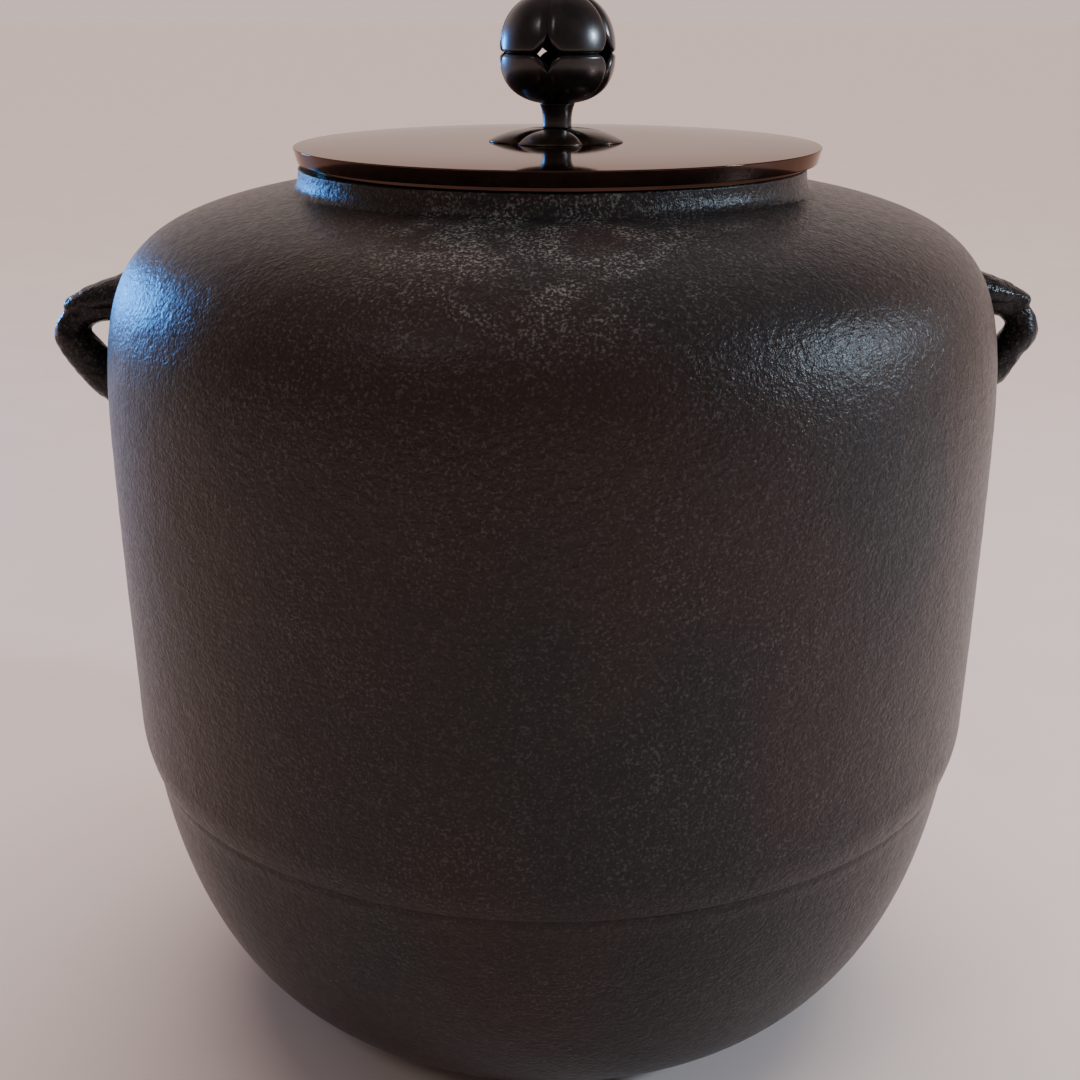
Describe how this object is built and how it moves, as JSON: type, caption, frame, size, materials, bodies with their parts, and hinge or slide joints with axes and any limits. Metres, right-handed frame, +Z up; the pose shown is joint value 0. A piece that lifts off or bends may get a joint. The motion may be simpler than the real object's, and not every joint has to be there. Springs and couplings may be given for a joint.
{
  "type": "tea ceremony kettle",
  "caption": "Tall round-shouldered cast-iron tea kettle with cast-in twig lugs at the sides and a loose, dark bronze lid with a pierced ball knob.",
  "frame": {"origin": "middle of the flat base that the kettle stands on", "axes": "+Z up along the kettle's axis; the two lugs stand on the X axis, right_lug on +X; +Y is the side away from the front view, and the object is shortest along Y"},
  "size_m": [0.2566, 0.225, 0.2625],
  "materials": {
    "cast_iron_skin": "matt-satin, sand-cast grain, dark brown-black",
    "lug_iron": "smoother dark iron with worn satin highlights",
    "iron_putty": "matt lacquer and iron-powder putty",
    "plate_iron": "dull forged plate",
    "lid_bronze": "mirror-polished dark red-brown patina",
    "seat_bronze": "satin brown patina",
    "knob_bronze": "glossy near-black patina"
  },
  "bodies": {
    "kettle": {"kettle_body": "cast_iron_skin", "kettle_bottom": "cast_iron_skin", "seam_filler": "iron_putty", "left_lug": "lug_iron", "right_lug": "lug_iron", "plate_bed_1": "iron_putty", "plate_bed_2": "iron_putty", "plate_bed_3": "iron_putty", "plate_bed_4": "iron_putty", "plate_bed_5": "iron_putty", "sounding_plate_1": "plate_iron", "sounding_plate_2": "plate_iron", "sounding_plate_3": "plate_iron", "sounding_plate_4": "plate_iron", "sounding_plate_5": "plate_iron"},
    "lid": {"lid_plate": "lid_bronze", "knob_seat": "seat_bronze", "knob_stem": "knob_bronze", "rivet_washer": "seat_bronze", "knob_lower_cup": "knob_bronze", "knob_upper_cup": "knob_bronze"}
  },
  "joints": [
    {"name": "lid_lift", "type": "slide", "parent": "kettle", "child": "lid", "axis": [0, 0, 1], "range_m": [0, 0.08]}
  ]
}
